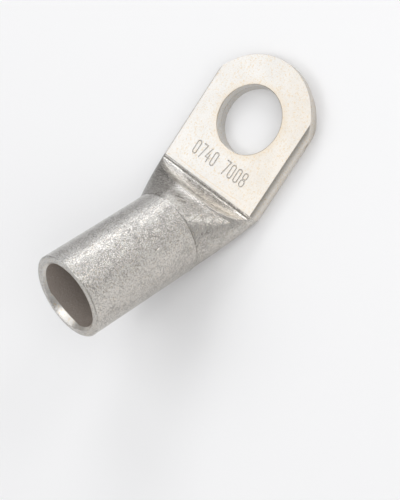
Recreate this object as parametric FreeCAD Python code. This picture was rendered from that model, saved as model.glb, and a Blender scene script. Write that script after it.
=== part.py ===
"""Angled tubular cable lug: one piece of tinned copper tube, flattened and punched at one end.

The barrel is the tube as drawn. Past the press line the tube is squeezed between two dies: its
section turns from a circle through ovals into a flat double wall, the palm, whose two walls meet
in a seam. The palm is bent up against the barrel, and the upper die leaves a fold line and a
shallow trough across the inside of the bend. The palm is punched for the stud and trimmed round.

Frame, in millimetres: the origin is the centre of the stud hole on the contact face, +Z goes
through the palm to its upper face, and +X points from the barrel to the tip. The contact face
lies on z = 0, and the barrel rises backwards at the bend angle.
"""
import FreeCAD, Part
import os
from math import cos, pi, radians, sin, sqrt, tan

from FreeCAD import Placement, Rotation, Vector

# Barrel
BARREL_OD = 21.0          # outside of the tube
BORE_D = 16.5             # cable bore
BARREL_LEN = 30.4         # mouth to press line
MOUTH_CHAMFER = 0.6       # inside the mouth, leads the strands in
MOUTH_BREAK = 0.25        # outside edge of the mouth
PRESS_STEP = 0.15         # the dies squeeze the tube this much under size at the press line

# Bend and neck
BEND_DEG = 45.0           # between the barrel's axis and the palm
NECK_RUN = 12.5           # press line to fold line, along the barrel's axis
HEEL_CLEAR = 0.3          # barrel's lowest point above the contact plane
FOLD_RADIUS = 2.5         # upper die's nose in the fold
TROUGH_RADIUS = 6.4       # upper die's belly, which leaves the trough
FOLD_GROOVE_W = 0.35      # pinched line at the bottom of the fold
FOLD_GROOVE_DEPTH = 0.3
FLANK_SWELL = 0.9         # the squeezed flanks bulge this much past a straight taper
NECK_WALL = 2.1           # wall of the flattened tube
CAVITY_BACK = 1.4         # the hollow closes this far behind the fold line
SLIT_GAP = 0.3            # height of the hollow where it closes

# Palm
PALM_W = 31.0             # over the rounded long edges
EDGE_BULGE = 1.2          # the rounded long edges stand out this far beyond the flat faces
PALM_T = 4.2              # two walls, pressed together
HOLE_D = 17.0             # clearance hole for the stud
HOLE_BREAK = 0.2          # drawn-in upper rim of the punched hole
FOLD_TO_HOLE = 19.0       # fold line to stud centre
TIP_RADIUS = 16.0         # trimmed end, round the stud hole
WALL_SLIP = 0.8           # the lower wall slides back this far under the upper one in the bend
SEAM_GAP = 0.12           # seam of the two walls, open a hair on the cut end
SEAM_DEPTH = 0.15

# How the neck is drawn
NECK_STEPS = (0.0, 0.15, 0.32, 0.50, 0.68, 0.85, 1.0)
EDGE_ANGLE = radians(22.5)    # the part of the tube's round, each way, that becomes the palm's edge
FACE_POINTS = 9
EDGE_POINTS = 7

bend = radians(BEND_DEG)
outer_r = BARREL_OD / 2
bore_r = BORE_D / 2
press_r = outer_r - PRESS_STEP
half_palm = PALM_W / 2
half_face = half_palm - EDGE_BULGE
half_t = PALM_T / 2

# Directions in the XZ plane: along the barrel from mouth to neck, and out of its upper side
axis_dir = Vector(cos(bend), 0, -sin(bend))
axis_up = Vector(sin(bend), 0, cos(bend))

fold = Vector(-FOLD_TO_HOLE, 0, PALM_T)
fold_run = FOLD_RADIUS * tan(bend / 2)
fold_height = (NECK_RUN * sin(bend) + PALM_T - HEEL_CLEAR) / cos(bend) - outer_r
press_centre = fold - axis_dir * NECK_RUN - axis_up * fold_height
mouth_centre = press_centre - axis_dir * BARREL_LEN

# The sections fan round a line across the part, from the press line to where the palm is flat
flat_x = fold.x + fold_run
pivot_reach = (flat_x - press_centre.x) / axis_up.x
pivot = press_centre + axis_up * pivot_reach


def spline(points):
    """Smooth edge through the points, spaced evenly in its parameter."""
    curve = Part.BSplineCurve()
    steps = [i / (len(points) - 1) for i in range(len(points))]
    curve.interpolate(Points=points, Parameters=steps)
    return curve.toShape()


def flat_section(centre, half_edge, half_width, half_height):
    """A flattened tube's section in a plane across the part, as a function of the angle round it.

    The faces are flat, and the edges bulge from half_edge to half_width in one arc. The angles
    gather towards the corners, so that the neck's sides run to them like those of a cone.
    """
    bulge = half_width - half_edge
    edge_r = (bulge ** 2 + half_height ** 2) / (2 * bulge)

    def point(angle):
        if abs(angle) <= EDGE_ANGLE:
            height = half_height * angle / EDGE_ANGLE
            side = half_width - edge_r + sqrt(edge_r ** 2 - height ** 2)
        else:
            height = half_height if angle > 0 else -half_height
            side = half_edge * sin(pi / 2 * (pi / 2 - abs(angle)) / (pi / 2 - EDGE_ANGLE))
        return centre + Vector(0, side, height)

    return point


def round_section(radius):
    """The tube's section at the press line, as a function of the angle round it."""
    def point(angle):
        return press_centre + axis_up * (radius * sin(angle)) + Vector(0, radius * cos(angle), 0)

    return point


def mirrored(points):
    """The same points on the other side of the part, in the opposite order."""
    return [Vector(p.x, -p.y, p.z) for p in points][::-1]


def neck_wire(share, turn, start, end):
    """Section of the neck in the fan's plane at this turn.

    Straight lines run from the tube's round section to the flat one, and the flanks swell
    beyond them, most on the lower side.
    """
    across = Vector(cos(turn), 0, -sin(turn))

    def point(angle):
        first, last = start(angle), end(angle)
        ahead, behind = (first - pivot).dot(across), (last - pivot).dot(across)
        place = first + (last - first) * (ahead / (ahead - behind))
        swell = FLANK_SWELL * 4 * share * (1 - share) * cos(angle) * (1 - sin(angle)) / 2
        return place + Vector(0, swell, 0)

    def run(low, high, count):
        return [point(low + (high - low) * i / (count - 1)) for i in range(count)]

    upper = run(pi / 2, EDGE_ANGLE, FACE_POINTS)
    edge = run(EDGE_ANGLE, -EDGE_ANGLE, EDGE_POINTS)
    lower = run(-EDGE_ANGLE, -pi / 2, FACE_POINTS)
    return Part.Wire([spline(mirrored(upper)[:-1] + upper), spline(edge),
                      spline(lower + mirrored(lower)[1:]), spline(mirrored(edge))])


palm_section = flat_section(Vector(flat_x, 0, half_t), half_face, half_palm, half_t)


def neck_body():
    """Outside of the neck, before the upper die's mark."""
    start = round_section(press_r)
    wires = [neck_wire(share, bend * (1 - share), start, palm_section) for share in NECK_STEPS]
    return Part.makeLoft(wires, True, False)


def neck_cavity():
    """Hollow of the neck: it narrows from the bore to the slit where the two walls meet."""
    close = Vector(fold.x - CAVITY_BACK, 0, half_t)
    close_turn = Vector(0, 0, -1).getAngle(close - pivot)
    start = round_section(bore_r - PRESS_STEP)
    half_slit = SLIT_GAP / 2
    half_width = half_palm - NECK_WALL
    end = flat_section(close, half_width - half_slit, half_width, half_slit)
    wires = [neck_wire(share, bend + (close_turn - bend) * share, start, end) for share in NECK_STEPS]
    return Part.makeLoft(wires, True, False)


def prism(edges):
    """Solid right across the part and beyond, over a closed outline in the XZ plane."""
    outline = Part.Face(Part.Wire(edges))
    outline.translate(Vector(0, -PALM_W, 0))
    return outline.extrude(Vector(0, 2 * PALM_W, 0))


def upper_die():
    """The space that the upper die took: its nose makes the fold and its belly the trough."""
    nose_centre = Vector(flat_x, 0, PALM_T + FOLD_RADIUS)
    toward_fold = -axis_up
    nose_mid = nose_centre + Vector(-sin(bend / 2), 0, -cos(bend / 2)) * FOLD_RADIUS
    nose_start = Vector(flat_x, 0, PALM_T)
    nose_end = nose_centre + toward_fold * FOLD_RADIUS
    belly_centre = nose_end - toward_fold * TROUGH_RADIUS
    belly_sweep = radians(60)

    def belly(angle):
        return belly_centre + (toward_fold * cos(angle) - axis_dir * sin(angle)) * TROUGH_RADIUS

    far = belly(belly_sweep)
    lid = Vector(flat_x, 0, max(far.z, nose_centre.z) + TROUGH_RADIUS)
    outline = [
        Part.Arc(nose_start, nose_mid, nose_end).toShape(),
        Part.Arc(nose_end, belly(belly_sweep / 2), far).toShape(),
        Part.LineSegment(far, Vector(far.x, 0, lid.z)).toShape(),
        Part.LineSegment(Vector(far.x, 0, lid.z), lid).toShape(),
        Part.LineSegment(lid, nose_start).toShape(),
    ]
    return prism(outline)


def fold_groove():
    """Pinched line along the bottom of the fold, square to the die's nose."""
    nose_centre = Vector(flat_x, 0, PALM_T + FOLD_RADIUS)
    down = Vector(-sin(bend / 2), 0, -cos(bend / 2))
    along = Vector(down.z, 0, -down.x)
    surface = nose_centre + down * FOLD_RADIUS
    lip = surface - down * FOLD_GROOVE_DEPTH
    corners = [lip - along * FOLD_GROOVE_W, lip + along * FOLD_GROOVE_W, surface + down * FOLD_GROOVE_DEPTH]
    corners.append(corners[0])
    edges = [Part.LineSegment(a, b).toShape() for a, b in zip(corners, corners[1:])]
    return prism(edges)


def revolved(profile):
    """Solid turned from (distance along the barrel, radius) points, placed on the barrel."""
    points = [Vector(x, 0, r) for x, r in profile]
    face = Part.Face(Part.makePolygon(points + points[:1]))
    solid = face.revolve(Vector(0, 0, 0), Vector(1, 0, 0), 360)
    solid.Placement = Placement(mouth_centre, Rotation(Vector(0, 1, 0), BEND_DEG))
    return solid


def barrel_body():
    return revolved([(0, 0), (0, outer_r - MOUTH_BREAK), (MOUTH_BREAK, outer_r),
                     (BARREL_LEN, outer_r), (BARREL_LEN, 0)])


def cable_bore():
    return revolved([(0, 0), (0, bore_r + MOUTH_CHAMFER), (MOUTH_CHAMFER, bore_r),
                     (BARREL_LEN, bore_r), (BARREL_LEN, 0)])


def trim(centre_x, low, high):
    """What the trimming tool leaves of one wall between two heights: all behind, round at the tip."""
    back = Part.makeBox(2 * FOLD_TO_HOLE, 2 * PALM_W, high - low,
                        Vector(centre_x - 2 * FOLD_TO_HOLE, -PALM_W, low))
    return back.fuse(Part.makeCylinder(TIP_RADIUS, high - low, Vector(centre_x, 0, low)))


def palm_body():
    """Flat double wall: the neck's last section carried to the tip, trimmed round the stud hole."""
    edge = [palm_section(EDGE_ANGLE * (1 - 2 * i / (EDGE_POINTS - 1))) for i in range(EDGE_POINTS)]
    other = mirrored(edge)
    section = Part.Wire([spline(edge), Part.makeLine(edge[-1], other[0]), spline(other),
                         Part.makeLine(other[-1], edge[0])])
    bar = Part.Face(section).extrude(Vector(TIP_RADIUS + FOLD_TO_HOLE, 0, 0))
    upper_wall = bar.common(trim(0, half_t, PALM_T + half_t))
    lower_wall = bar.common(trim(-WALL_SLIP, -half_t, half_t))
    return upper_wall.fuse(lower_wall)


def seam():
    """Hairline between the two walls, round the cut end only: the long edges are folded tube."""
    low = half_t - SEAM_GAP / 2
    ring = Part.makeCylinder(TIP_RADIUS + WALL_SLIP, SEAM_GAP, Vector(-WALL_SLIP, 0, low))
    core = Part.makeCylinder(TIP_RADIUS - SEAM_DEPTH, SEAM_GAP, Vector(-WALL_SLIP, 0, low))
    return ring.cut(core).common(Part.makeBox(TIP_RADIUS, 2 * PALM_W, PALM_T, Vector(0, -PALM_W, 0)))


def stud_hole():
    """Punched hole: the upper rim is drawn in a little, and the contact face stays flat to its edge."""
    hole_r = HOLE_D / 2
    profile = [(0, -half_t), (hole_r, -half_t), (hole_r, PALM_T - HOLE_BREAK),
               (hole_r + 2 * HOLE_BREAK, PALM_T + HOLE_BREAK), (0, PALM_T + HOLE_BREAK)]
    points = [Vector(r, 0, z) for r, z in profile]
    face = Part.Face(Part.makePolygon(points + points[:1]))
    return face.revolve(Vector(0, 0, 0), Vector(0, 0, 1), 360)


def cable_lug():
    outside = neck_body().cut(upper_die()).fuse([barrel_body(), palm_body()])
    hollow = cable_bore().fuse(neck_cavity())
    lug = outside.cut(hollow).cut(stud_hole()).cut([fold_groove(), seam()])
    return lug.removeSplitter()


os.makedirs("parts", exist_ok=True)
lug = cable_lug()
print("cable_lug valid", lug.isValid(), "solids", len(lug.Solids), "faces", len(lug.Faces),
      "volume", round(lug.Volume, 1), "box", lug.BoundBox)
lug.Solids[0].exportStep("parts/cable_lug.step")
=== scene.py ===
"""Angled tubular cable lug in tinned copper, with its camera and studio.

The lug is one closed shell: the bore, the mouth, the barrel, the pressed neck, and the palm with
its stud hole. Every size is in metres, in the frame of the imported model: the origin is the centre
of the stud hole on the contact face, +Z goes up through the palm and +X points to the tip.
"""
from math import cos, pi, radians, sin, tan
from types import SimpleNamespace

import bpy
from bpy.props import FloatProperty, FloatVectorProperty, PointerProperty
from mathutils import Euler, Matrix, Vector
from mathutils.geometry import delaunay_2d_cdt
import numpy as np


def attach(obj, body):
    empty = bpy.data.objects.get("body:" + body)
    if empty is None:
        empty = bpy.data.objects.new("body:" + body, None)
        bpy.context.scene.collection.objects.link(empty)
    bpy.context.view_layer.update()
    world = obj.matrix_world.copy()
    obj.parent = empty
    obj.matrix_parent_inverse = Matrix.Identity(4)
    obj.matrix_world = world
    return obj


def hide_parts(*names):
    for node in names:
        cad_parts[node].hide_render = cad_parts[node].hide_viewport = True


bl_info = {
    "name": "Angled tubular cable lug",
    "version": (1, 0, 0),
    "blender": (4, 5, 0),
    "location": "3D View > Sidebar > Cable lug",
    "description": "Builds a tinned copper cable lug with a pressed neck and a bent palm",
    "category": "Object",
}

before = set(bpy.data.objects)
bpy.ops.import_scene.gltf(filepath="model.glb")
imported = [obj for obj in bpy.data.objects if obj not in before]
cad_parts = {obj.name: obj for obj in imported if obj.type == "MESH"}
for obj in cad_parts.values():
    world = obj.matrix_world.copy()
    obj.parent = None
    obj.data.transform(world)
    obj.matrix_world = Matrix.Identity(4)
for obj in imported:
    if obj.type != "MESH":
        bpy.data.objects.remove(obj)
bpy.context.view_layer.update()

EDGE_ANGLE = radians(22.5)   # the part of the tube's round, each way, that becomes the palm's edge
FACE_COLUMNS, EDGE_COLUMNS = 60, 13     # from the top to that edge, and from there to its middle

# Rings through the mouth, in their order, then columns of the palm: along the long edge, on to
# the trimmed end, and round that to the tip
BORE_ROWS, CHAMFER_ROWS, FACE_ROWS, BREAK_ROWS, BARREL_ROWS = 16, 3, 6, 3, 54
LONG_COLUMNS, CORNER_COLUMNS, TIP_COLUMNS = 34, 16, 46

# Small marks, in metres
BITE_RUN = 0.00017      # from the press line to the deepest point of the dies' bite
HAIRLINE = 0.00013      # half width of the line that the die's edge leaves
CUT_RIM = 0.00014       # how far the rims of the trimmed end are broken
SLIT_HALF = 0.00015     # half height of the slit where the hollow closes
SEAM_HALF = 0.0001      # half height of the seam's hairline
HOLE_SEAM = 0.00012     # depth of that hairline in the stud hole

# The camera: place in metres, turn in degrees, and focal length in pixels of a picture with this
# many on its longer side
CAMERA_PLACE = (0.01466, -0.15267, 0.26973)
CAMERA_TURN = (9.866, 28.197, -51.949)
FOCAL_PIXELS, LONG_SIDE_PIXELS = 1293.5, 500

# Softboxes: azimuth and elevation in degrees, then distance, width and height in metres. Their
# target is the middle of the lug.
SOFTBOXES = {
    "overhead": (95, 58, 0.7, 0.52, 0.52), "low": (28, 14, 0.5, 0.2, 0.11),
    "tip": (-18, 31, 0.6, 0.16, 0.14), "mouth": (170, 67, 0.6, 0.18, 0.18),
    "back": (37, 34, 0.6, 0.2, 0.2), "fill": (-75, 50, 0.7, 0.6, 0.6)}
LAMP_TARGET = (-0.02, 0, 0.01)
FLOOR_REACH, FLOOR_DROP = 1.5, 0.00002      # the drop keeps the paper clear of the contact face


def linear(code):
    """Linear RGB of an sRGB hex colour."""
    share = np.array([int(code[i:i + 2], 16) for i in (0, 2, 4)]) / 255
    value = np.where(share <= 0.04045, share / 12.92, ((share + 0.055) / 1.055) ** 2.4)
    return tuple(float(v) for v in value)


def length(name, text, default):
    """A size in metres."""
    return FloatProperty(name=name, description=text, default=default, min=0, unit="LENGTH")


def strength(name, text, default):
    """How bright a part of the room is."""
    return FloatProperty(name=name, description=text, default=default, min=0, max=2,
                         subtype="FACTOR")


def power(name, text, default):
    """A lamp's power in watts."""
    return FloatProperty(name=name, description=text, default=default, min=0, unit="POWER")


def colour(name, text, code):
    """A colour, from its sRGB hex code."""
    return FloatVectorProperty(name=name, description=text, default=linear(code), size=3,
                               min=0, max=1, subtype="COLOR")


class LugSizes(bpy.types.PropertyGroup):
    """Sizes of the lug."""
    barrel_od: length("Barrel diameter", "Outside of the tube", 0.021)
    bore_d: length("Bore", "Diameter of the cable bore", 0.0165)
    barrel_len: length("Barrel length", "From the mouth to the press line", 0.0304)
    mouth_chamfer: length("Mouth chamfer", "Inside edge of the mouth", 0.0006)
    mouth_break: length("Mouth edge", "Outside edge of the mouth", 0.00025)
    mouth_uneven: length("Uneven chamfer", "How much wider it is on the lower side", 0.0007)
    press_step: length("Press step", "How far the dies squeeze the tube under size", 0.00015)
    press_bite: length("Press bite", "Line that the dies' edge leaves in the tube", 0.0002)
    press_burr: length("Press burr", "Metal pushed up on the barrel's side of that line", 0.00006)
    bend: FloatProperty(name="Bend", description="Between the barrel's axis and the palm",
                        default=radians(45), min=0, max=pi / 2, subtype="ANGLE")
    neck_run: length("Neck run", "From the press line to the fold, along the barrel", 0.0125)
    heel_clear: length("Heel clearance", "Barrel's lowest point above the contact plane", 0.0003)
    fold_radius: length("Fold radius", "Nose of the upper die", 0.0016)
    trough_radius: length("Trough radius", "Belly of the upper die", 0.0062)
    ridge_round: length("Ridge round", "How softly the trough's rim runs into the neck", 0.0007)
    lip_height: length("Lip height", "Metal pushed up along the trough's rim", 0.00028)
    lip_w: length("Lip width", "How far the lip reaches beyond the rim", 0.0016)
    groove_w: length("Fold groove width", "Half width of the pinched line in the fold", 0.00022)
    groove_depth: length("Fold groove depth", "Depth of the pinched line", 0.0002)
    edge_line: length("Die edge line", "Depth of the hairline between die and palm", 0.0001)
    flank_swell: length("Flank swell", "How far the flanks bulge past a straight taper", 0.0009)
    neck_wall: length("Neck wall", "Wall of the flattened tube", 0.0021)
    palm_w: length("Palm width", "Over the rounded long edges", 0.031)
    edge_bulge: length("Edge bulge", "How far the long edges stand out", 0.0012)
    palm_t: length("Palm thickness", "Two walls, pressed together", 0.0042)
    digit_w: length("Digit stroke", "Width of the punched digits' strokes", 0.00024)
    digit_depth: length("Digit depth", "Depth of the punched digits", 0.00012)
    hole_d: length("Stud hole", "Diameter of the stud hole", 0.017)
    hole_break: length("Hole rim", "Drawn-in upper rim of the hole", 0.0002)
    fold_to_hole: length("Fold to hole", "From the fold to the stud's centre", 0.019)
    tip_radius: length("Tip radius", "Trimmed end, round the stud hole", 0.016)
    wall_slip: length("Wall slip", "How far the lower wall slides back in the bend", 0.0008)
    seam_depth: length("Seam depth", "Hairline between the two walls at the cut edges", 0.0002)


class LugFinish(bpy.types.PropertyGroup):
    """Colours of the lug's finish."""
    tin: colour("Tin", "Clean tinned surface", "DEDDDB")
    # the dull colour is the tin's random dull patches, and also painted shade: down one side of the
    # barrel, on the neck's +Y flank, behind the trough's rim, beside the fold, in the fold's
    # grooves and along the press line; it darkens seams, digits and nicks too
    dull: colour("Dull tin", "Dull film in pits, in marks and down one side", "7F7B76")
    pit: colour("Pits", "Dark bottoms of the tin's fine pits", "5F5B57")
    beige: colour("Thin tin", "Where the copper warms the tin", "D3BE9C")
    soot: colour("Bore", "Unpolished tin inside the barrel", "B9AFA7")


class StudioSizes(bpy.types.PropertyGroup):
    """Floor and light."""
    floor_colour: colour("Floor", "Pale paper under the lug", "F8F8F9")
    near_wall: strength("Bright wall", "Strength of the light from the near wall", 0.72)
    far_wall: strength("Dark wall", "Strength of the light from the far wall", 0.34)
    ceiling: strength("Ceiling", "Strength of the light from above", 0.38)
    overhead: power("Overhead softbox", "Power of the large softbox", 1.0)
    low: power("Low softbox", "Power of the low softbox ahead of the tip", 0.22)
    tip: power("Tip softbox", "Power of the softbox to the right of the tip", 0.28)
    mouth: power("Mouth softbox", "Power of the softbox above the mouth", 0.32)
    back: power("Back softbox", "Power of the softbox above the tip", 0.48)
    fill: power("Fill softbox", "Power of the softbox beside the camera", 1.75)


def lug_lines(s):
    """Directions and centres that all surfaces of the shell share.

    The barrel's axis falls towards the tip at the bend angle. The fold lies on the palm's upper
    face, and the neck's sections fan round a line across the part, the pivot.
    """
    axis = np.array((cos(s.bend), 0, -sin(s.bend)))
    up = np.array((sin(s.bend), 0, cos(s.bend)))
    fold = np.array((-s.fold_to_hole, 0, s.palm_t))
    fall = s.neck_run * sin(s.bend) + s.palm_t - s.heel_clear
    press = fold - axis * s.neck_run - up * (fall / cos(s.bend) - s.barrel_od / 2)
    flat_x = fold[0] + s.fold_radius * tan(s.bend / 2)
    return SimpleNamespace(axis=axis, up=up, press=press, mouth=press - axis * s.barrel_len,
                           flat_x=flat_x, pivot=press + up * (flat_x - press[0]) / up[0])


def column_angles():
    """Angle and side of each column round the tube.

    One side runs from the top, +90 degrees, to the bottom: even steps on the faces and on the
    edge, with finer ones at the edge's middle, where the walls' seam is. The other side comes
    back up.
    """
    face = np.linspace(pi / 2, EDGE_ANGLE, FACE_COLUMNS)
    seam = radians(1.4) * np.array((1, 0.5, 0, -0.5, -1))
    edge = np.linspace(EDGE_ANGLE, radians(2.4), EDGE_COLUMNS)
    half = np.concatenate([face[:-1], edge, seam, -edge[::-1], -face[::-1][1:]])
    angle = np.concatenate([half, half[-2:0:-1]])
    side = np.concatenate([np.ones(len(half)), -np.ones(len(half) - 2)])
    return angle, side


def round_rings(lines, angle, side, along, radius):
    """Rings of the round tube: a circle of each radius at each distance from the mouth."""
    centre = lines.mouth + lines.axis * along[:, None]
    ring = centre[:, None] + lines.up * (radius[:, None] * np.sin(angle))[..., None]
    ring[..., 1] += radius[:, None] * side * np.cos(angle)
    return ring


def flat_ring(angle, side, centre, half_edge, half_width, half_height):
    """A flattened tube's section across the part.

    The height rises evenly with the angle on the edge and stays level on the faces. The edge
    bulges in one arc from the faces' ends, and the faces' points gather towards them.
    """
    bulge = max(half_width - half_edge, 1e-9)
    arc_r = (bulge ** 2 + half_height ** 2) / (2 * bulge)
    height = half_height * np.clip(angle / EDGE_ANGLE, -1, 1)
    on_edge = half_width - arc_r + np.sqrt(arc_r ** 2 - height ** 2)
    share = np.clip((pi / 2 - np.abs(angle)) / (pi / 2 - EDGE_ANGLE), 0, 1)
    reach = np.where(share < 1, half_edge * np.sin(pi / 2 * share), on_edge)
    return centre + np.stack([np.zeros_like(angle), side * reach, height], -1)


def neck_rings(s, lines, turn, last_turn, angle, side, first, last):
    """Rings between the round section and the flat one, one in the fan's plane at each turn.

    Each point lies where the straight line between its two ends crosses the plane, and the
    flanks swell beyond that line, most halfway along and on the lower side.
    """
    share = (s.bend - turn) / (s.bend - last_turn)
    across = np.stack([np.cos(turn), np.zeros_like(turn), -np.sin(turn)], -1)
    ahead = across @ (first - lines.pivot).T
    behind = across @ (last - lines.pivot).T
    ring = first + (last - first) * (ahead / (ahead - behind))[..., None]
    swell = s.flank_swell * 4 * (share * (1 - share))[:, None]
    swell = swell * np.cos(angle) * (1 - np.sin(angle)) / 2
    ring[..., 1] += side * swell
    return ring


def die_reach(s, lines, turn):
    """Distance from the pivot to the upper die's surface, down each plane of the fan.

    The die is an arc for its nose and a larger one for its belly, so the distance is where a
    ray from the pivot leaves a circle. Two narrow V grooves are cut into it: one at the nose's
    middle, and a hairline where the nose leaves the palm. Their share of full depth comes too.
    """
    down = np.stack([-np.sin(turn), -np.cos(turn)], -1)
    pivot, up = lines.pivot[::2], lines.up[::2]
    nose = np.array((lines.flat_x, s.palm_t + s.fold_radius))
    belly = nose - up * s.fold_radius + up * s.trough_radius

    def leave(centre, radius):
        half = down @ (pivot - centre)
        inside = half ** 2 - (pivot - centre) @ (pivot - centre) + radius ** 2
        return np.where(inside > 0, -half + np.sqrt(np.maximum(inside, 0)), 0)

    on_nose, on_belly = leave(nose, s.fold_radius), leave(belly, s.trough_radius)
    spot = pivot + down * on_nose[:, None] - nose
    round_nose = np.arctan2(-spot[:, 0], -spot[:, 1])
    off = np.abs(round_nose - s.bend / 2) * s.fold_radius
    groove = np.clip(1 - off / s.groove_w, 0, 1)
    hair = np.clip(1 - np.abs(round_nose * s.fold_radius - HAIRLINE) / HAIRLINE, 0, 1)
    in_nose = (on_nose > 0) & (round_nose < s.bend)
    reach = np.where(in_nose, on_nose + s.groove_depth * groove + s.edge_line * hair, on_belly)
    return reach, np.where(in_nose, np.maximum(groove, hair), 0)


def press_down(s, lines, turn, ring):
    """Moves the points above the die down to it, within each plane of the fan.

    The two surfaces meet in a soft rim, and sharply near the fold. The metal that the die moves
    stands up beside the rim. Three marks come with the rings: the share that the die has smoothed,
    the share that lies in a groove, and the share of painted shade in a stripe behind the rim.
    """
    up = np.stack([np.sin(turn), np.zeros_like(turn), np.cos(turn)], -1)
    reach = -np.einsum("rci,ri->rc", ring - lines.pivot, up)
    die, groove = die_reach(s, lines, turn)
    soft = s.ridge_round * np.clip((turn / s.bend - 0.12) / 0.15, 0.02, 1) ** 2
    soft = soft[:, None]
    share = np.clip(0.5 + (reach - die[:, None]) / (2 * soft), 0, 1)
    lower = die[:, None] * (1 - share) + reach * share + soft * share * (1 - share)
    pressed = np.where(((die > 0) & (turn > 0))[:, None], lower, np.maximum(reach, die[:, None]))
    met = np.where(die[:, None] > reach, turn[:, None], 0).max(0)
    # distance behind the rim, in lip widths; the lip and the painted shade end where the rim nears
    # the fold
    off = (turn[:, None] - met) * reach / s.lip_w
    clear = np.clip(met / 0.1, 0, 1)
    lip = s.lip_height * clear * np.exp(-(off - 0.45) ** 2 / 0.12)
    # painted shade in a stripe behind the trough's rim
    strip = clear * np.exp(-(off - 1.9) ** 2 / 0.5) * (off > 0)
    # the painted shade fades across the part, from full at y = 2.4 mm to none at y = -9.6 mm
    strip = strip * np.clip(0.8 + ring[..., 1] / 0.012, 0, 1)
    smoothed = np.clip((pressed - reach) / 0.0003, 0, 1)
    ring = ring + (reach - pressed + lip)[..., None] * up[:, None]
    return ring, smoothed, smoothed * groove[:, None], strip


def hollow_rings(s, lines, angle, side):
    """Rings of the hollow in the neck, from the slit where it closes to the bore.

    The first ring is the slit pinched to a line, so the hollow needs no lid.
    """
    half_t = s.palm_t / 2
    close = np.array((-s.fold_to_hole - 0.0014, 0, half_t))
    close_turn = np.arctan2(lines.pivot[0] - close[0], lines.pivot[2] - close[2])
    inner_end = s.palm_w / 2 - s.neck_wall
    slit = flat_ring(angle, side, close, inner_end - SLIT_HALF, inner_end, SLIT_HALF)
    bore = round_rings(lines, angle, side, np.array([s.barrel_len]),
                       np.array([s.bore_d / 2 - s.press_step]))[0]
    turn = np.linspace(close_turn, s.bend, 26)
    hollow = neck_rings(s, lines, turn, close_turn, angle, side, bore, slit)
    pinched = slit[None] * (1, 1, 0) + (0.0003, 0, half_t)
    return np.concatenate([pinched, hollow])


def barrel_rings(s, lines, angle, side):
    """Rings from the bore round the mouth and along the barrel, each a circle round its axis.

    The chamfer widens in one hump over the lower side: there its inner end moves in along the
    axis, and its outer end moves out along the radius.
    """
    outer_r, bore_r = s.barrel_od / 2, s.bore_d / 2
    lip = bore_r + s.mouth_chamfer
    edge = outer_r - s.mouth_break
    along = np.concatenate([
        np.linspace(s.barrel_len - 0.0004, s.mouth_chamfer + 0.0001, BORE_ROWS - 1),
        [s.mouth_chamfer], s.mouth_chamfer * np.array((0.66, 0.33, 0.0)),
        np.zeros(FACE_ROWS), s.mouth_break * np.array((0.33, 0.66, 1)),
        np.linspace(0.0009, s.barrel_len - 0.0005, BARREL_ROWS),
        s.barrel_len - np.array((0.0003, 0.00012, 0))])
    radius = np.concatenate([
        np.full(BORE_ROWS, bore_r), bore_r + s.mouth_chamfer * np.array((0.3, 0.64, 1)),
        np.linspace(lip + 0.00012, edge, FACE_ROWS),
        edge + s.mouth_break * np.array((0.33, 0.66, 1)),
        np.full(BARREL_ROWS, outer_r), outer_r + s.press_burr * np.array((0.2, 1, 0.4))])
    barrel = round_rings(lines, angle, side, along, radius)

    from_bottom = (angle + pi / 2) * side
    wide = s.mouth_uneven * np.cos(pi / 2 * np.clip((from_bottom - 0.28) / 0.66, -1, 1)) ** 0.6
    chamfer_end = BORE_ROWS + CHAMFER_ROWS
    inward, outward = np.zeros((2, len(along), 1))
    inward[BORE_ROWS - 2:chamfer_end - 1, 0] = (1, 1, 0.67, 0.33)
    outward[BORE_ROWS - 1:chamfer_end, 0] = (0, 0.33, 0.67, 1)
    outward[chamfer_end:chamfer_end + FACE_ROWS, 0] = (1, 0.8, 0.6, 0.4, 0.2, 0)
    radial = lines.up * np.sin(angle)[:, None]
    radial = radial + np.array((0, 1, 0)) * (side * np.cos(angle))[:, None]
    return (barrel + (inward * wide)[..., None] * lines.axis
            + (outward * wide)[..., None] * radial)


def pressed_neck(s, lines, angle, side):
    """Rings from the press line down the neck to the palm, the share of each point that the die
    has smoothed, and the painted shade in its marks.

    The rings are closest at the press line and in the trough. The dies' bite deepens evenly past
    the press line and then dies away as an exponential.
    """
    half_t, half_palm = s.palm_t / 2, s.palm_w / 2
    first = round_rings(lines, angle, side, np.array([s.barrel_len]),
                        np.array([s.barrel_od / 2 - s.press_step]))[0]
    last = flat_ring(angle, side, np.array((lines.flat_x, 0, half_t)),
                     half_palm - s.edge_bulge, half_palm, half_t)
    full = np.degrees(s.bend)
    turn = np.radians(np.concatenate([full - np.array((0, 0.2, 0.4, 0.6, 0.85, 1.15, 1.5)),
                                      np.linspace(full - 2, 19, 32)[:-1],
                                      np.linspace(19, 6, 56)[:-1], np.linspace(6, 0, 40)]))
    neck = neck_rings(s, lines, turn, 0.0, angle, side, first, last)
    past = (s.bend - turn)[:, None] * np.linalg.norm(first - lines.pivot, axis=-1) / BITE_RUN
    bite = s.press_bite * np.where(past < 1, past, np.exp(1 - past))
    # painted shade in a thin line just past the press line
    line = np.clip(1 - np.abs(past - 0.5) / 0.8, 0, 1)
    inwards = lines.press - neck
    inwards -= (inwards @ lines.axis)[..., None] * lines.axis
    neck = neck + inwards / np.linalg.norm(inwards, axis=-1)[..., None] * bite[..., None]
    neck, smoothed, groove, strip = press_down(s, lines, turn, neck)
    neck[-1] = last
    # the third share is painted shade: full in the grooves and along the press line, and 0.8 in the
    # stripe behind the rim
    return neck, smoothed, np.maximum(np.maximum(groove, line), 0.8 * strip)


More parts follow.
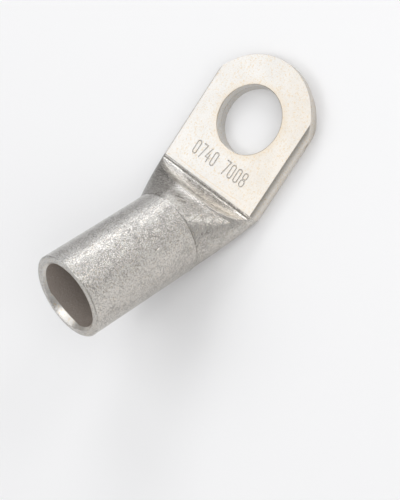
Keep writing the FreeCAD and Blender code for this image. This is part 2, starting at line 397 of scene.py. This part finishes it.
def tube_grid(s, lines, angle, side):
    """The tube's rings in order, and their finish: from the slit where the hollow closes, out
    through the bore, round the mouth, along the barrel and down the neck to the palm.
    """
    hollow = hollow_rings(s, lines, angle, side)
    barrel = barrel_rings(s, lines, angle, side)
    neck, smoothed, film = pressed_neck(s, lines, angle, side)
    rings = np.concatenate([hollow, barrel, neck])
    chamfer = len(hollow) + BORE_ROWS - 1
    return rings, tube_finish(lines, rings, angle, side, chamfer, smoothed, film)


def tube_finish(lines, rings, angle, side, chamfer, smoothed, film):
    """Finish of each point of the tube, as four shares: like the palm, smoothed by the die, in
    the bore, and darkened by painted shade.

    The painted shade fills the grooves, lies in a stripe behind the trough's rim, and lies down one
    side: along the barrel it is a soft stripe about 62 degrees up from the side, and on the neck it
    covers that whole side. A weaker painted shade lies in the trough beside the fold, in a stripe
    that is widest at the middle.
    """
    finish = np.zeros(rings.shape[:2] + (4,))
    face, neck = chamfer + CHAMFER_ROWS, len(rings) - len(smoothed)
    outside = face + FACE_ROWS + BREAK_ROWS + 1
    finish[:chamfer, :, 2] = 1
    finish[chamfer:face, :, 0] = 1
    finish[face:face + FACE_ROWS, :, 0] = 0.5
    round_up = np.where(side > 0, angle, pi - angle)
    # painted shade down one side of the barrel, in a soft stripe 62 degrees up from the side
    band = np.exp(-((round_up - radians(62)) / radians(12)) ** 2)
    finish[outside:neck, :, 3] = 0.6 * band

    x, y = rings[neck:, :, 0], rings[neck:, :, 1]
    share = np.clip((x - lines.press[0]) / (lines.flat_x - lines.press[0]), 0, 1)
    # the flank's painted shade starts at y = -1.7 mm by the press line and at y = 4.3 mm by the
    # fold
    flank = np.clip((y + 0.0017 - 0.006 * share) / 0.002, 0, 1)
    flank = flank * np.clip((angle + 0.6) / 0.9, 0, 1) * (1 - smoothed)
    # the trough's painted shade ends on a parabola, whose top is 2.1 mm behind the fold, at y =
    # -1.5 mm
    limit = -0.0211 + 18 * (y + 0.0015) ** 2
    trough = 0.7 * smoothed * np.clip((x - limit) / 0.0006, 0, 1)
    finish[neck:, :, 1] = smoothed
    finish[neck:, :, 3] = np.maximum(np.maximum(flank, trough), film)
    finish[-3:-1, :, 0] = np.array((0.3, 0.6))[:, None]
    finish[-1] = (1, 0, 0, 0)
    return finish


def palm_grid(s, lines, ring, angle, side):
    """The palm's columns, fanned round the stud hole from the rear's middle and back to it.

    Each column is a closed loop: up the hole's wall, out over the upper face, down the edge and
    back under. The rear columns end on the neck's last ring. The side ones follow the long
    edges' bulge until the trimming circle cuts it, and the tip's follow the circle.
    """
    half_t, tip_r = s.palm_t / 2, s.tip_radius
    half_face = s.palm_w / 2 - s.edge_bulge
    wall_angle = angle[(side > 0) & (np.abs(angle) <= EDGE_ANGLE + 1e-9)]
    wall = flat_ring(wall_angle, 1.0, np.zeros(3), half_face, s.palm_w / 2, half_t)[:, 1:]
    height, bulge = wall[:, 1] + half_t, wall[:, 0]
    upper = height >= half_t

    rear = ring[:FACE_COLUMNS - 1, :2].copy()
    rear[:, 0] = lines.flat_x
    rear = rear[:, None].repeat(len(height), 1)
    turn_x = np.sqrt(tip_r ** 2 - half_face ** 2)
    side_x = np.concatenate([np.linspace(lines.flat_x, 0, LONG_COLUMNS)[:-1],
                             np.linspace(0, turn_x, CORNER_COLUMNS)])
    centre = np.where(upper, 0.0, -s.wall_slip)
    cut = np.sqrt(tip_r ** 2 - np.maximum(side_x[:, None] - centre, 0) ** 2)
    long = np.stack([side_x[:, None].repeat(len(height), 1), np.minimum(bulge, cut)], -1)
    phi = np.linspace(np.arctan2(half_face, turn_x), 0, TIP_COLUMNS)[1:]
    reach = np.where(upper, tip_r, -s.wall_slip * np.cos(phi)[:, None]
                     + np.sqrt(tip_r ** 2 - (s.wall_slip * np.sin(phi)[:, None]) ** 2))
    # the broken rims of the trimmed end grow in over its first six columns
    grown = np.clip(np.arange(len(phi)) / 6, 0, 1)[:, None]
    reach = reach - CUT_RIM * grown * ((height == height[0]) | (height == height[-1]))
    tip = reach[..., None] * np.stack([np.cos(phi), np.sin(phi)], -1)[:, None]
    half = np.concatenate([rear, long, tip])
    # the walls' seam shows where the edge is cut, ahead of the stud's centre
    ahead = np.clip(half[:, :, 0] / 0.002, 0, 1)
    seam = s.seam_depth * ahead * np.clip(1 - np.abs(height - half_t) / SEAM_HALF, 0, 1)
    half = half * (1 - seam / np.hypot(half[..., 0], half[..., 1]))[..., None]

    edge = np.concatenate([half, half[-2:0:-1] * (1, -1)])
    edge = np.concatenate([edge, np.broadcast_to(height[:, None], edge.shape[:2] + (1,))], -1)
    toward = edge[:, 0, :2] / np.hypot(edge[:, 0, 0], edge[:, 0, 1])[:, None]

    bevel = np.radians((0, 30, 60, 90))
    up_z = np.concatenate([[0, 0.0002, 0.001, 0.0018], half_t + 0.00008 * np.array((-1, 0, 1)),
                           [0.0024, 0.0032, 0.0038],
                           s.palm_t - s.hole_break * (1 - np.sin(bevel))])
    seam_row = 5      # the middle one of the three at half height
    hole_r = np.full(len(up_z), s.hole_d / 2)
    hole_r[seam_row] += HOLE_SEAM
    hole_r[-4:] += s.hole_break * (1 - np.cos(bevel))
    hole = np.concatenate([toward[:, None] * hole_r[:, None],
                           np.broadcast_to(up_z[:, None], (len(toward), len(up_z), 1))], -1)
    under = edge[:, -1:] + (hole[:, :1] - edge[:, -1:]) * np.linspace(0, 1, 14)[1:-1, None]
    grid = np.concatenate([hole, edge, under], 1)
    first = hole.shape[1]
    finish = np.zeros(grid.shape[:2] + (4,))
    finish[..., 0] = 1
    finish[:, seam_row, 3] = 0.7
    seams = 0.9 * seam / s.seam_depth
    finish[:, first:first + edge.shape[1], 3] = np.concatenate([seams, seams[-2:0:-1]])
    return grid, (first, first + edge.shape[1] - 1), finish


def digit_strokes():
    """Plain digits, which mean nothing, punched between the stud hole and the fold.

    Each digit is drawn in a cell 3.4 mm high, as lines and loops: start, end and loop radius,
    with the first number to the digit's right and the second to its top. The digits stand up
    towards the hole, 1.95 mm apart.
    """
    shapes = {"0": [((0.55, 0.55), (0.55, 2.85), 0.55)],
              "4": [((0.7, 3.4), (0, 1.0), 0), ((0, 1.0), (1.2, 1.0), 0),
                    ((0.85, 1.9), (0.85, 0), 0)],
              "7": [((0, 3.4), (1.15, 3.4), 0), ((1.15, 3.4), (0.4, 0), 0)],
              "8": [((0.55, 0.6), (0.55, 1.05), 0.6), ((0.55, 2.35), (0.55, 2.85), 0.55)]}
    placed = []
    for number, digit in enumerate("0740 7008"):
        corner = np.array((-14.1, 8.4 - 1.95 * number))
        for start, end, radius in shapes.get(digit, ()):
            ends = [corner + (up, -right) for right, up in (start, end)]
            placed.append((*ends, radius))
    return placed


def round_ended(start, end, radius):
    """Outline, in order, at this distance round the line between two points."""
    run = end - start
    heading = np.arctan2(run[1], run[0])
    turn = np.linspace(pi / 2, 3 * pi / 2, 10) + heading
    ring = radius * np.stack([np.cos(turn), np.sin(turn)], -1)
    return np.concatenate([start + ring, end - ring])


def palm_top(s, rim, border):
    """The palm's upper face between the hole's rim and the border, with the digits punched in.

    The face is cut along the outlines of every stroke, in mm. Each corner then sinks with its
    distance from the nearest stroke: full depth inside the stroke, and none beyond its slope.
    """
    strokes = digit_strokes()
    half_stroke = s.digit_w * 1000 / 2
    narrow, wide = half_stroke - 0.04, half_stroke + 0.05
    loops = [rim * 1000, border * 1000]
    for start, end, radius in strokes:
        sizes = (radius - wide, radius - narrow, radius + narrow, radius + wide)
        loops += [round_ended(start, end, size) for size in sizes if size > 0]
    flat = np.concatenate(loops)
    first = np.cumsum([0] + [len(loop) for loop in loops])
    edges = [(a + i, a + (i + 1) % (b - a))
             for a, b in zip(first[:-1], first[1:]) for i in range(b - a)]
    # output type 1 leaves out what lies outside the border, but fills the hole
    spots, _, corners, origin, _, _ = delaunay_2d_cdt(
        [Vector(spot) for spot in flat], edges, [], 1, 1e-4)
    spots = np.array([flat[given[0]] if given else np.array(spot)
                      for spot, given in zip(spots, origin)])
    corners = np.array(corners)
    middle = spots[corners].mean(1)
    corners = corners[np.hypot(*middle.T) > np.hypot(*loops[0].T).max()]
    a, b, c = spots[corners].transpose(1, 0, 2)
    turned = np.cross(b - a, c - a) < 0
    corners[turned] = corners[turned][:, ::-1]

    off = np.full(len(spots), np.inf)
    for start, end, radius in strokes:
        run = end - start
        share = np.clip((spots - start) @ run / max(run @ run, 1e-9), 0, 1)
        away = np.linalg.norm(spots - start - share[:, None] * run, axis=1)
        off = np.minimum(off, np.abs(away - radius))
    sunk = np.clip((wide - off) / (wide - narrow), 0, 1)
    points = np.column_stack([spots / 1000, s.palm_t - s.digit_depth * sunk])
    finish = np.zeros((len(sunk), 4))
    finish[:, 0], finish[:, 3] = 1, 0.55 * sunk
    return points, corners, finish


def quads(rows, columns, start, close_rows):
    """Corner numbers of a grid's faces, closed round its columns, and its rows too if asked."""
    number = start + np.arange(rows * columns).reshape(rows, columns)
    below = np.roll(number, -1, 0) if close_rows else number[1:]
    here = number if close_rows else number[:-1]
    return np.stack([here, below, np.roll(below, -1, 1), np.roll(here, -1, 1)], -1)


def welded(points, *faces):
    """Which points to keep, so that each is used and none repeats, and the faces renumbered."""
    _, first, number = np.unique(np.round(points, 12), axis=0, return_index=True,
                                 return_inverse=True)
    faces = [number.reshape(-1)[corners] for corners in faces]
    used = np.unique(np.concatenate([corners.ravel() for corners in faces]))
    return first[used], [np.searchsorted(used, corners) for corners in faces]


def new_mesh(name, points, round_faces, flat_faces):
    """A mesh of smooth four-cornered faces and flat three-cornered ones."""
    start = np.concatenate([np.arange(0, round_faces.size, 4),
                            round_faces.size + np.arange(0, flat_faces.size, 3)])
    corners = np.concatenate([round_faces.ravel(), flat_faces.ravel()])
    mesh = bpy.data.meshes.new(name)
    mesh.vertices.add(len(points))
    mesh.vertices.foreach_set("co", points.astype(np.float32).ravel())
    mesh.loops.add(len(corners))
    mesh.loops.foreach_set("vertex_index", corners.astype(np.int32))
    mesh.polygons.add(len(start))
    mesh.polygons.foreach_set("loop_start", start.astype(np.int32))
    mesh.update(calc_edges=True)
    if mesh.validate():
        raise RuntimeError(name + " has faulty faces")
    mesh.shade_smooth()
    mesh.set_sharp_from_angle(angle=radians(38))
    mesh.polygons.foreach_set("use_smooth", np.arange(len(start)) < len(round_faces))
    return mesh


def node(tree, kind, links=None, **settings):
    """Adds a node with its settings and gives its outputs. The links give an input's name or
    number, and a socket or a value.
    """
    made = tree.nodes.new("ShaderNode" + kind)
    for key, value in settings.items():
        setattr(made, key, value)
    for key, value in (links or {}).items():
        if isinstance(value, bpy.types.NodeSocket):
            tree.links.new(value, made.inputs[key])
        else:
            made.inputs[key].default_value = value
    return made.outputs


def per_mm(size):
    """Noise scale, per metre of Object coordinates, at which features are this many mm apart."""
    return 1000 / size


def off_line(tree, spot, start, end):
    """Distance in mm from the straight line between two points: the spot's share along the line
    is held between its ends.
    """
    start, run = np.array(start, float), np.array(end, float) - np.array(start, float)
    away = node(tree, "VectorMath", {0: spot, 1: tuple(start)}, operation="SUBTRACT")["Vector"]
    share = node(tree, "VectorMath", {0: away, 1: tuple(run / max(run @ run, 1e-6))},
                 operation="DOT_PRODUCT")["Value"]
    share = node(tree, "MapRange", {"Value": share})["Result"]
    left = node(tree, "VectorMath", {0: share, 1: tuple(-run), 2: away},
                operation="MULTIPLY_ADD")["Vector"]
    return node(tree, "VectorMath", {0: left}, operation="LENGTH")["Value"]


# Nicks in the barrel and the neck: start and end of each, in mm
NICKS = (((-39.8, 4.9, 27.5), (-40.1, 2.9, 29.0)), ((-33.2, -5.0, 20.8), (-32.5, -6.0, 19.4)),
         ((-34.3, -7.4, 19.4), (-35.3, -7.5, 20.2)), ((-24.0, 1.0, 12.2), (-23.3, -0.9, 11.4)),
         ((-24.4, -0.6, 12.7), (-23.7, -2.2, 11.8)))


def tinned_copper(finish):
    """Copper tube, pickled and electro-tinned: a satin warm-white metal.

    The tin fills a fine orange-peel grain, so highlights break into small flecks. The dies and
    the press leave the palm smoother and brighter. The copper under thin tin shows as beige
    specks.
    """
    material = bpy.data.materials.new("electro_tinned_copper")
    material.use_nodes = True
    tree = material.node_tree
    tree.nodes.clear()
    place = node(tree, "TexCoord")["Object"]
    mm = node(tree, "VectorMath", {0: place, "Scale": 1000}, operation="SCALE")["Vector"]
    along, across, up = node(tree, "SeparateXYZ", {"Vector": mm})
    shares = node(tree, "Attribute", attribute_name="finish")
    palm, pressed, bore = node(tree, "SeparateColor", {"Color": shares["Color"]})

    # Spacing in mm, detail and roughness of each noise. The tin's grain and its specks are about
    # 0.1 mm. They are drawn at 0.26 and 0.4 mm, or they would not show.
    noises = ((0.26, 2, 0.6), (1.6, 2, 0.5), (7.0, 2, 0.5), (0.4, 4, 0.75), (0.8, 1, 0.5),
              (2.3, 1, 0.5))
    grain, peel, cloud, specks, folds, patches = [
        node(tree, "TexNoise", {"Vector": place, "Scale": per_mm(size), "Detail": detail,
                                "Roughness": rough})["Fac"] for size, detail, rough in noises]

    # Fine curved lines, 0.2 mm wide and in patches, where the drawn tube's skin has folded
    folds = node(tree, "Math", {0: folds, 1: 0.5}, operation="SUBTRACT")["Value"]
    folds = node(tree, "Math", {0: folds}, operation="ABSOLUTE")["Value"]
    folds = node(tree, "MapRange", {"Value": folds, "From Min": 0.015, "From Max": 0.055,
                                    "To Min": 1, "To Max": 0})["Result"]
    patches = node(tree, "MapRange", {"Value": patches, "From Min": 0.45,
                                      "From Max": 0.6})["Result"]
    folds = node(tree, "Math", {0: folds, 1: patches}, operation="MULTIPLY")["Value"]
    pits = node(tree, "MapRange", {"Value": grain, "From Min": 0.46, "From Max": 0.39})["Result"]
    pits = node(tree, "Math", {0: pits, 1: folds}, operation="MAXIMUM")["Value"]
    share = node(tree, "MapRange", {"Value": palm, "To Min": 0.48, "To Max": 0.08})["Result"]
    pits = node(tree, "Math", {0: pits, 1: share}, operation="MULTIPLY")["Value"]

    # Distance in mm from the nearest nick, 10 at most
    least = 10
    for ends in NICKS:
        least = node(tree, "Math", {0: least, 1: off_line(tree, mm, *ends)},
                     operation="MINIMUM")["Value"]
    nicks = node(tree, "MapRange", {"Value": least, "From Min": 0.05, "From Max": 0.22,
                                    "To Min": 1, "To Max": 0})["Result"]

    # Thin tin in a warm halo on the upper face, round the stud hole
    from_stud = node(tree, "VectorMath", {0: mm}, operation="LENGTH")["Value"]
    halo = node(tree, "MapRange", {"Value": from_stud, "From Min": 11.2, "From Max": 9.6,
                                   "To Max": 0.5})["Result"]
    upper = node(tree, "MapRange", {"Value": up, "From Min": 4.0, "From Max": 4.15})["Result"]
    halo = node(tree, "Math", {0: halo, 1: upper}, operation="MULTIPLY")["Value"]

    # The die's edge has left a hairline on the palm beside the fold, bowed as a parabola
    bow = across
    for step, value in (("SUBTRACT", 2), ("ABSOLUTE", 0), ("POWER", 2), ("MULTIPLY", 0.0032)):
        bow = node(tree, "Math", {0: bow, 1: value}, operation=step)["Value"]
    bow = node(tree, "Math", {0: along, 1: bow}, operation="SUBTRACT")["Value"]
    for step, value in (("ADD", 17.45), ("ABSOLUTE", 0)):
        bow = node(tree, "Math", {0: bow, 1: value}, operation=step)["Value"]
    bow = node(tree, "MapRange", {"Value": bow, "From Min": 0.05, "From Max": 0.16,
                                  "To Min": 1, "To Max": 0})["Result"]
    fade = node(tree, "Math", {0: across}, operation="ABSOLUTE")["Value"]
    fade = node(tree, "MapRange", {"Value": fade, "From Min": 9.0, "From Max": 12.0,
                                   "To Min": 0.6, "To Max": 0})["Result"]
    for share in (fade, palm):
        bow = node(tree, "Math", {0: bow, 1: share}, operation="MULTIPLY")["Value"]

    # The share of each colour that lies over the clean tin
    tarnish = node(tree, "MapRange", {"Value": cloud, "From Min": 0.35, "From Max": 0.65,
                                      "To Max": 0.08})["Result"]
    share = node(tree, "MapRange", {"Value": palm, "To Min": 0.11, "To Max": 0})["Result"]
    tarnish = node(tree, "Math", {0: tarnish, 1: share}, operation="ADD")["Value"]
    # the tin turns beige towards the -Y side, up to 15 % at y = -9 mm, and a little on the palm
    warm = node(tree, "MapRange", {"Value": across, "From Min": 2.0, "From Max": -9.0,
                                   "To Max": 0.15})["Result"]
    share = node(tree, "MapRange", {"Value": palm, "To Max": 0.07})["Result"]
    warm = node(tree, "Math", {0: warm, 1: share}, operation="ADD")["Value"]
    halo = node(tree, "Math", {0: halo, 1: 0.6}, operation="MULTIPLY")["Value"]
    warm = node(tree, "Math", {0: warm, 1: halo}, operation="ADD")["Value"]
    warm = node(tree, "Math", {0: warm, 1: bow}, operation="MAXIMUM")["Value"]
    specks = node(tree, "MapRange", {"Value": specks, "From Min": 0.55,
                                     "From Max": 0.62})["Result"]
    share = node(tree, "MapRange", {"Value": palm, "To Min": 0.35, "To Max": 0.85})["Result"]
    specks = node(tree, "Math", {0: specks, 1: share}, operation="MULTIPLY")["Value"]
    # the finish's fourth share: painted shade on the tube, plus the dark seams and digits; less
    # where the grain stands high, and the nicks add to it
    share = node(tree, "MapRange", {"Value": grain, "From Min": 0.46, "From Max": 0.62,
                                    "To Min": 1, "To Max": 0.6})["Result"]
    film = node(tree, "Math", {0: shares["Alpha"], 1: share}, operation="MULTIPLY")["Value"]
    share = node(tree, "Math", {0: nicks, 1: 0.45}, operation="MULTIPLY")["Value"]
    film = node(tree, "Math", {0: film, 1: share}, operation="MAXIMUM")["Value"]
    metal = (*finish.tin, 1)
    for share, over in ((tarnish, finish.dull), (warm, finish.beige), (specks, finish.beige),
                        (film, finish.dull), (pits, finish.pit), (bore, finish.soot)):
        metal = node(tree, "Mix", {"Factor": share, 6: metal, 7: (*over, 1)},
                     data_type="RGBA")[2]

    rough = node(tree, "MapRange", {"Value": grain, "From Min": 0.3, "From Max": 0.7,
                                    "To Min": 0.2, "To Max": 0.28})["Result"]
    share = node(tree, "MapRange", {"Value": palm, "To Max": 0.08})["Result"]
    rough = node(tree, "Math", {0: rough, 1: share}, operation="ADD")["Value"]

    # Height of each form, on the rough tube and on the smooth palm, and depth of each mark
    crumple = node(tree, "TexVoronoi", {"Vector": place, "Scale": per_mm(0.7), "Smoothness": 0.6},
                   feature="SMOOTH_F1")["Distance"]
    smooth = node(tree, "Math", {0: pressed, 1: 0.7}, operation="MULTIPLY")["Value"]
    smooth = node(tree, "Math", {0: palm, 1: smooth}, operation="MAXIMUM")["Value"]
    height = 0
    for form, tube, flat in ((grain, 1, 0.15), (peel, 0.8, 0.4), (crumple, 0.6, 0.1)):
        share = node(tree, "MapRange", {"Value": smooth, "To Min": tube, "To Max": flat})["Result"]
        form = node(tree, "Math", {0: form, 1: share}, operation="MULTIPLY")["Value"]
        height = node(tree, "Math", {0: height, 1: form}, operation="ADD")["Value"]
    for mark, depth in ((nicks, 2.5), (pits, 0.7)):
        mark = node(tree, "Math", {0: mark, 1: depth}, operation="MULTIPLY")["Value"]
        height = node(tree, "Math", {0: height, 1: mark}, operation="SUBTRACT")["Value"]
    relief = node(tree, "Bump", {"Strength": 1.0, "Distance": 0.00007, "Height": height})
    metallic = node(tree, "MapRange", {"Value": bore, "To Min": 1, "To Max": 0.3})["Result"]
    shader = node(tree, "BsdfPrincipled", {"Base Color": metal, "Metallic": metallic,
                                           "Roughness": rough, "Normal": relief["Normal"]})
    node(tree, "OutputMaterial", {"Surface": shader["BSDF"]})
    return material


class LUG_OT_shell(bpy.types.Operator):
    """Build the lug: bore, mouth, barrel, neck and palm as one closed shell"""
    bl_idname = "lug.shell"
    bl_label = "Lug shell"

    def execute(self, context):
        s = context.scene.lug_sizes
        lines = lug_lines(s)
        angle, side = column_angles()
        rings, tube_marks = tube_grid(s, lines, angle, side)
        palm, (edge, under), palm_marks = palm_grid(s, lines, rings[-1], angle, side)
        top, top_faces, top_marks = palm_top(s, palm[:, edge - 1, :2], palm[:, edge, :2])

        # the palm's grid has no faces on the rear columns' edge, where the neck joins it, and
        # none on the upper face, which is cut round the digits
        tube_faces = quads(len(rings), len(angle), 0, False)
        palm_faces = quads(*palm.shape[:2], rings.shape[0] * rings.shape[1], True)
        made = np.ones(palm_faces.shape[:2], bool)
        rear = np.zeros(len(palm), bool)
        rear[:FACE_COLUMNS - 1] = rear[-(FACE_COLUMNS - 1):] = True
        made[rear, edge:under] = False
        made[:, edge - 1] = False
        corners = np.concatenate([tube_faces.reshape(-1, 4), palm_faces[made]])
        points = np.concatenate([rings.reshape(-1, 3), palm.reshape(-1, 3), top])
        top_faces = top_faces + len(points) - len(top)
        finish = np.concatenate([tube_marks.reshape(-1, 4), palm_marks.reshape(-1, 4), top_marks])

        keep, (corners, top_faces) = welded(points, corners, top_faces)
        mesh = new_mesh("lug_shell", points[keep], corners, top_faces)
        # the finish's fourth share carries painted shade on the tube, with the dark seams and
        # digits
        stain = mesh.attributes.new("finish", "FLOAT_COLOR", "POINT")
        stain.data.foreach_set("color", finish[keep].astype(np.float32).ravel())
        mesh.materials.append(tinned_copper(context.scene.lug_finish))

        shell = bpy.data.objects.new("lug_shell", mesh)
        context.collection.objects.link(shell)
        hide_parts("cable_lug")
        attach(shell, "root")
        return {"FINISHED"}


def softbox(context, name, watts, azimuth, elevation, distance, width, height):
    """Area lamp facing the lug from this direction, which is in degrees."""
    lamp = bpy.data.lights.new(name, "AREA")
    lamp.shape = "RECTANGLE"
    lamp.size, lamp.size_y = width, height
    lamp.energy = watts
    holder = bpy.data.objects.new(name, lamp)
    context.collection.objects.link(holder)
    azimuth, elevation = radians(azimuth), radians(elevation)
    toward = Vector((cos(elevation) * cos(azimuth), cos(elevation) * sin(azimuth), sin(elevation)))
    holder.location = Vector(LAMP_TARGET) + toward * distance
    holder.rotation_euler = toward.to_track_quat("Z", "Y").to_euler()
    return holder


class LUG_OT_studio(bpy.types.Operator):
    """Set the camera, the floor, the softboxes and the room light"""
    bl_idname = "lug.studio"
    bl_label = "Studio"

    def execute(self, context):
        scene, s = context.scene, context.scene.lug_studio
        camera = bpy.data.cameras.new("camera")
        camera.lens = FOCAL_PIXELS * camera.sensor_width / LONG_SIDE_PIXELS
        camera.clip_start, camera.clip_end = 0.01, 20
        holder = bpy.data.objects.new("camera", camera)
        holder.location = CAMERA_PLACE
        holder.rotation_euler = Euler([radians(turn) for turn in CAMERA_TURN])
        context.collection.objects.link(holder)
        scene.camera = holder

        floor = bpy.data.meshes.new("floor")
        floor.from_pydata([(x * FLOOR_REACH, y * FLOOR_REACH, 0)
                           for x, y in ((-1, -1), (1, -1), (1, 1), (-1, 1))], [], [(0, 1, 2, 3)])
        paper = bpy.data.materials.new("matt_paper")
        paper.use_nodes = True
        shader = paper.node_tree.nodes["Principled BSDF"]
        shader.inputs["Base Color"].default_value = (*s.floor_colour, 1)
        shader.inputs["Roughness"].default_value = 0.9
        floor.materials.append(paper)
        ground = bpy.data.objects.new("floor", floor)
        ground.location.z = -FLOOR_DROP
        context.collection.objects.link(ground)

        for name, place in SOFTBOXES.items():
            lamp = softbox(context, name + "_softbox", getattr(s, name), *place)
            # the fill lights the paper beside the lug, and the metal doesn't mirror it
            lamp.visible_glossy = name != "fill"

        # the room's light grows from the far wall to the near one, and turns to the ceiling's
        # higher up
        world = bpy.data.worlds.new("room")
        world.use_nodes = True
        tree = world.node_tree
        look = node(tree, "TexCoord")["Generated"]
        rise = node(tree, "SeparateXYZ", {"Vector": look})["Z"]
        lean = node(tree, "VectorMath", {0: look, 1: (0.5, -0.87, 0)},
                    operation="DOT_PRODUCT")["Value"]
        walls = node(tree, "MapRange", {"Value": lean, "From Min": -1, "From Max": 0.6,
                                        "To Min": s.far_wall, "To Max": s.near_wall})["Result"]
        light = node(tree, "MapRange", {"Value": rise, "From Min": 0.1, "From Max": 0.7,
                                        "To Min": walls, "To Max": s.ceiling},
                     interpolation_type="SMOOTHSTEP")["Result"]
        air = tree.nodes["Background"]
        air.inputs["Color"].default_value = (1, 1, 1, 1)
        tree.links.new(light, air.inputs["Strength"])
        scene.world = world
        scene.view_settings.view_transform = "Standard"
        return {"FINISHED"}


class LUG_PT_panel(bpy.types.Panel):
    """Sizes, colours and buttons of the cable lug"""
    bl_idname = "LUG_PT_panel"
    bl_label = "Cable lug"
    bl_space_type = "VIEW_3D"
    bl_region_type = "UI"
    bl_category = "Cable lug"

    def draw(self, context):
        scene = context.scene
        for title, group in (("Sizes", scene.lug_sizes), ("Finish", scene.lug_finish),
                             ("Studio", scene.lug_studio)):
            box = self.layout.box()
            box.label(text=title)
            for key in group.bl_rna.properties.keys():
                if key not in {"rna_type", "name"}:
                    box.prop(group, key)
        self.layout.operator(LUG_OT_shell.bl_idname)
        self.layout.operator(LUG_OT_studio.bl_idname)


classes = (LugSizes, LugFinish, StudioSizes, LUG_OT_shell, LUG_OT_studio, LUG_PT_panel)


def register():
    for item in classes:
        bpy.utils.register_class(item)
    bpy.types.Scene.lug_sizes = PointerProperty(type=LugSizes)
    bpy.types.Scene.lug_finish = PointerProperty(type=LugFinish)
    bpy.types.Scene.lug_studio = PointerProperty(type=StudioSizes)


def unregister():
    del bpy.types.Scene.lug_sizes, bpy.types.Scene.lug_finish, bpy.types.Scene.lug_studio
    for item in reversed(classes):
        bpy.utils.unregister_class(item)


def main():
    """Builds the lug and its studio."""
    register()
    bpy.ops.lug.shell()
    bpy.ops.lug.studio()


if __name__ == "__main__":
    main()
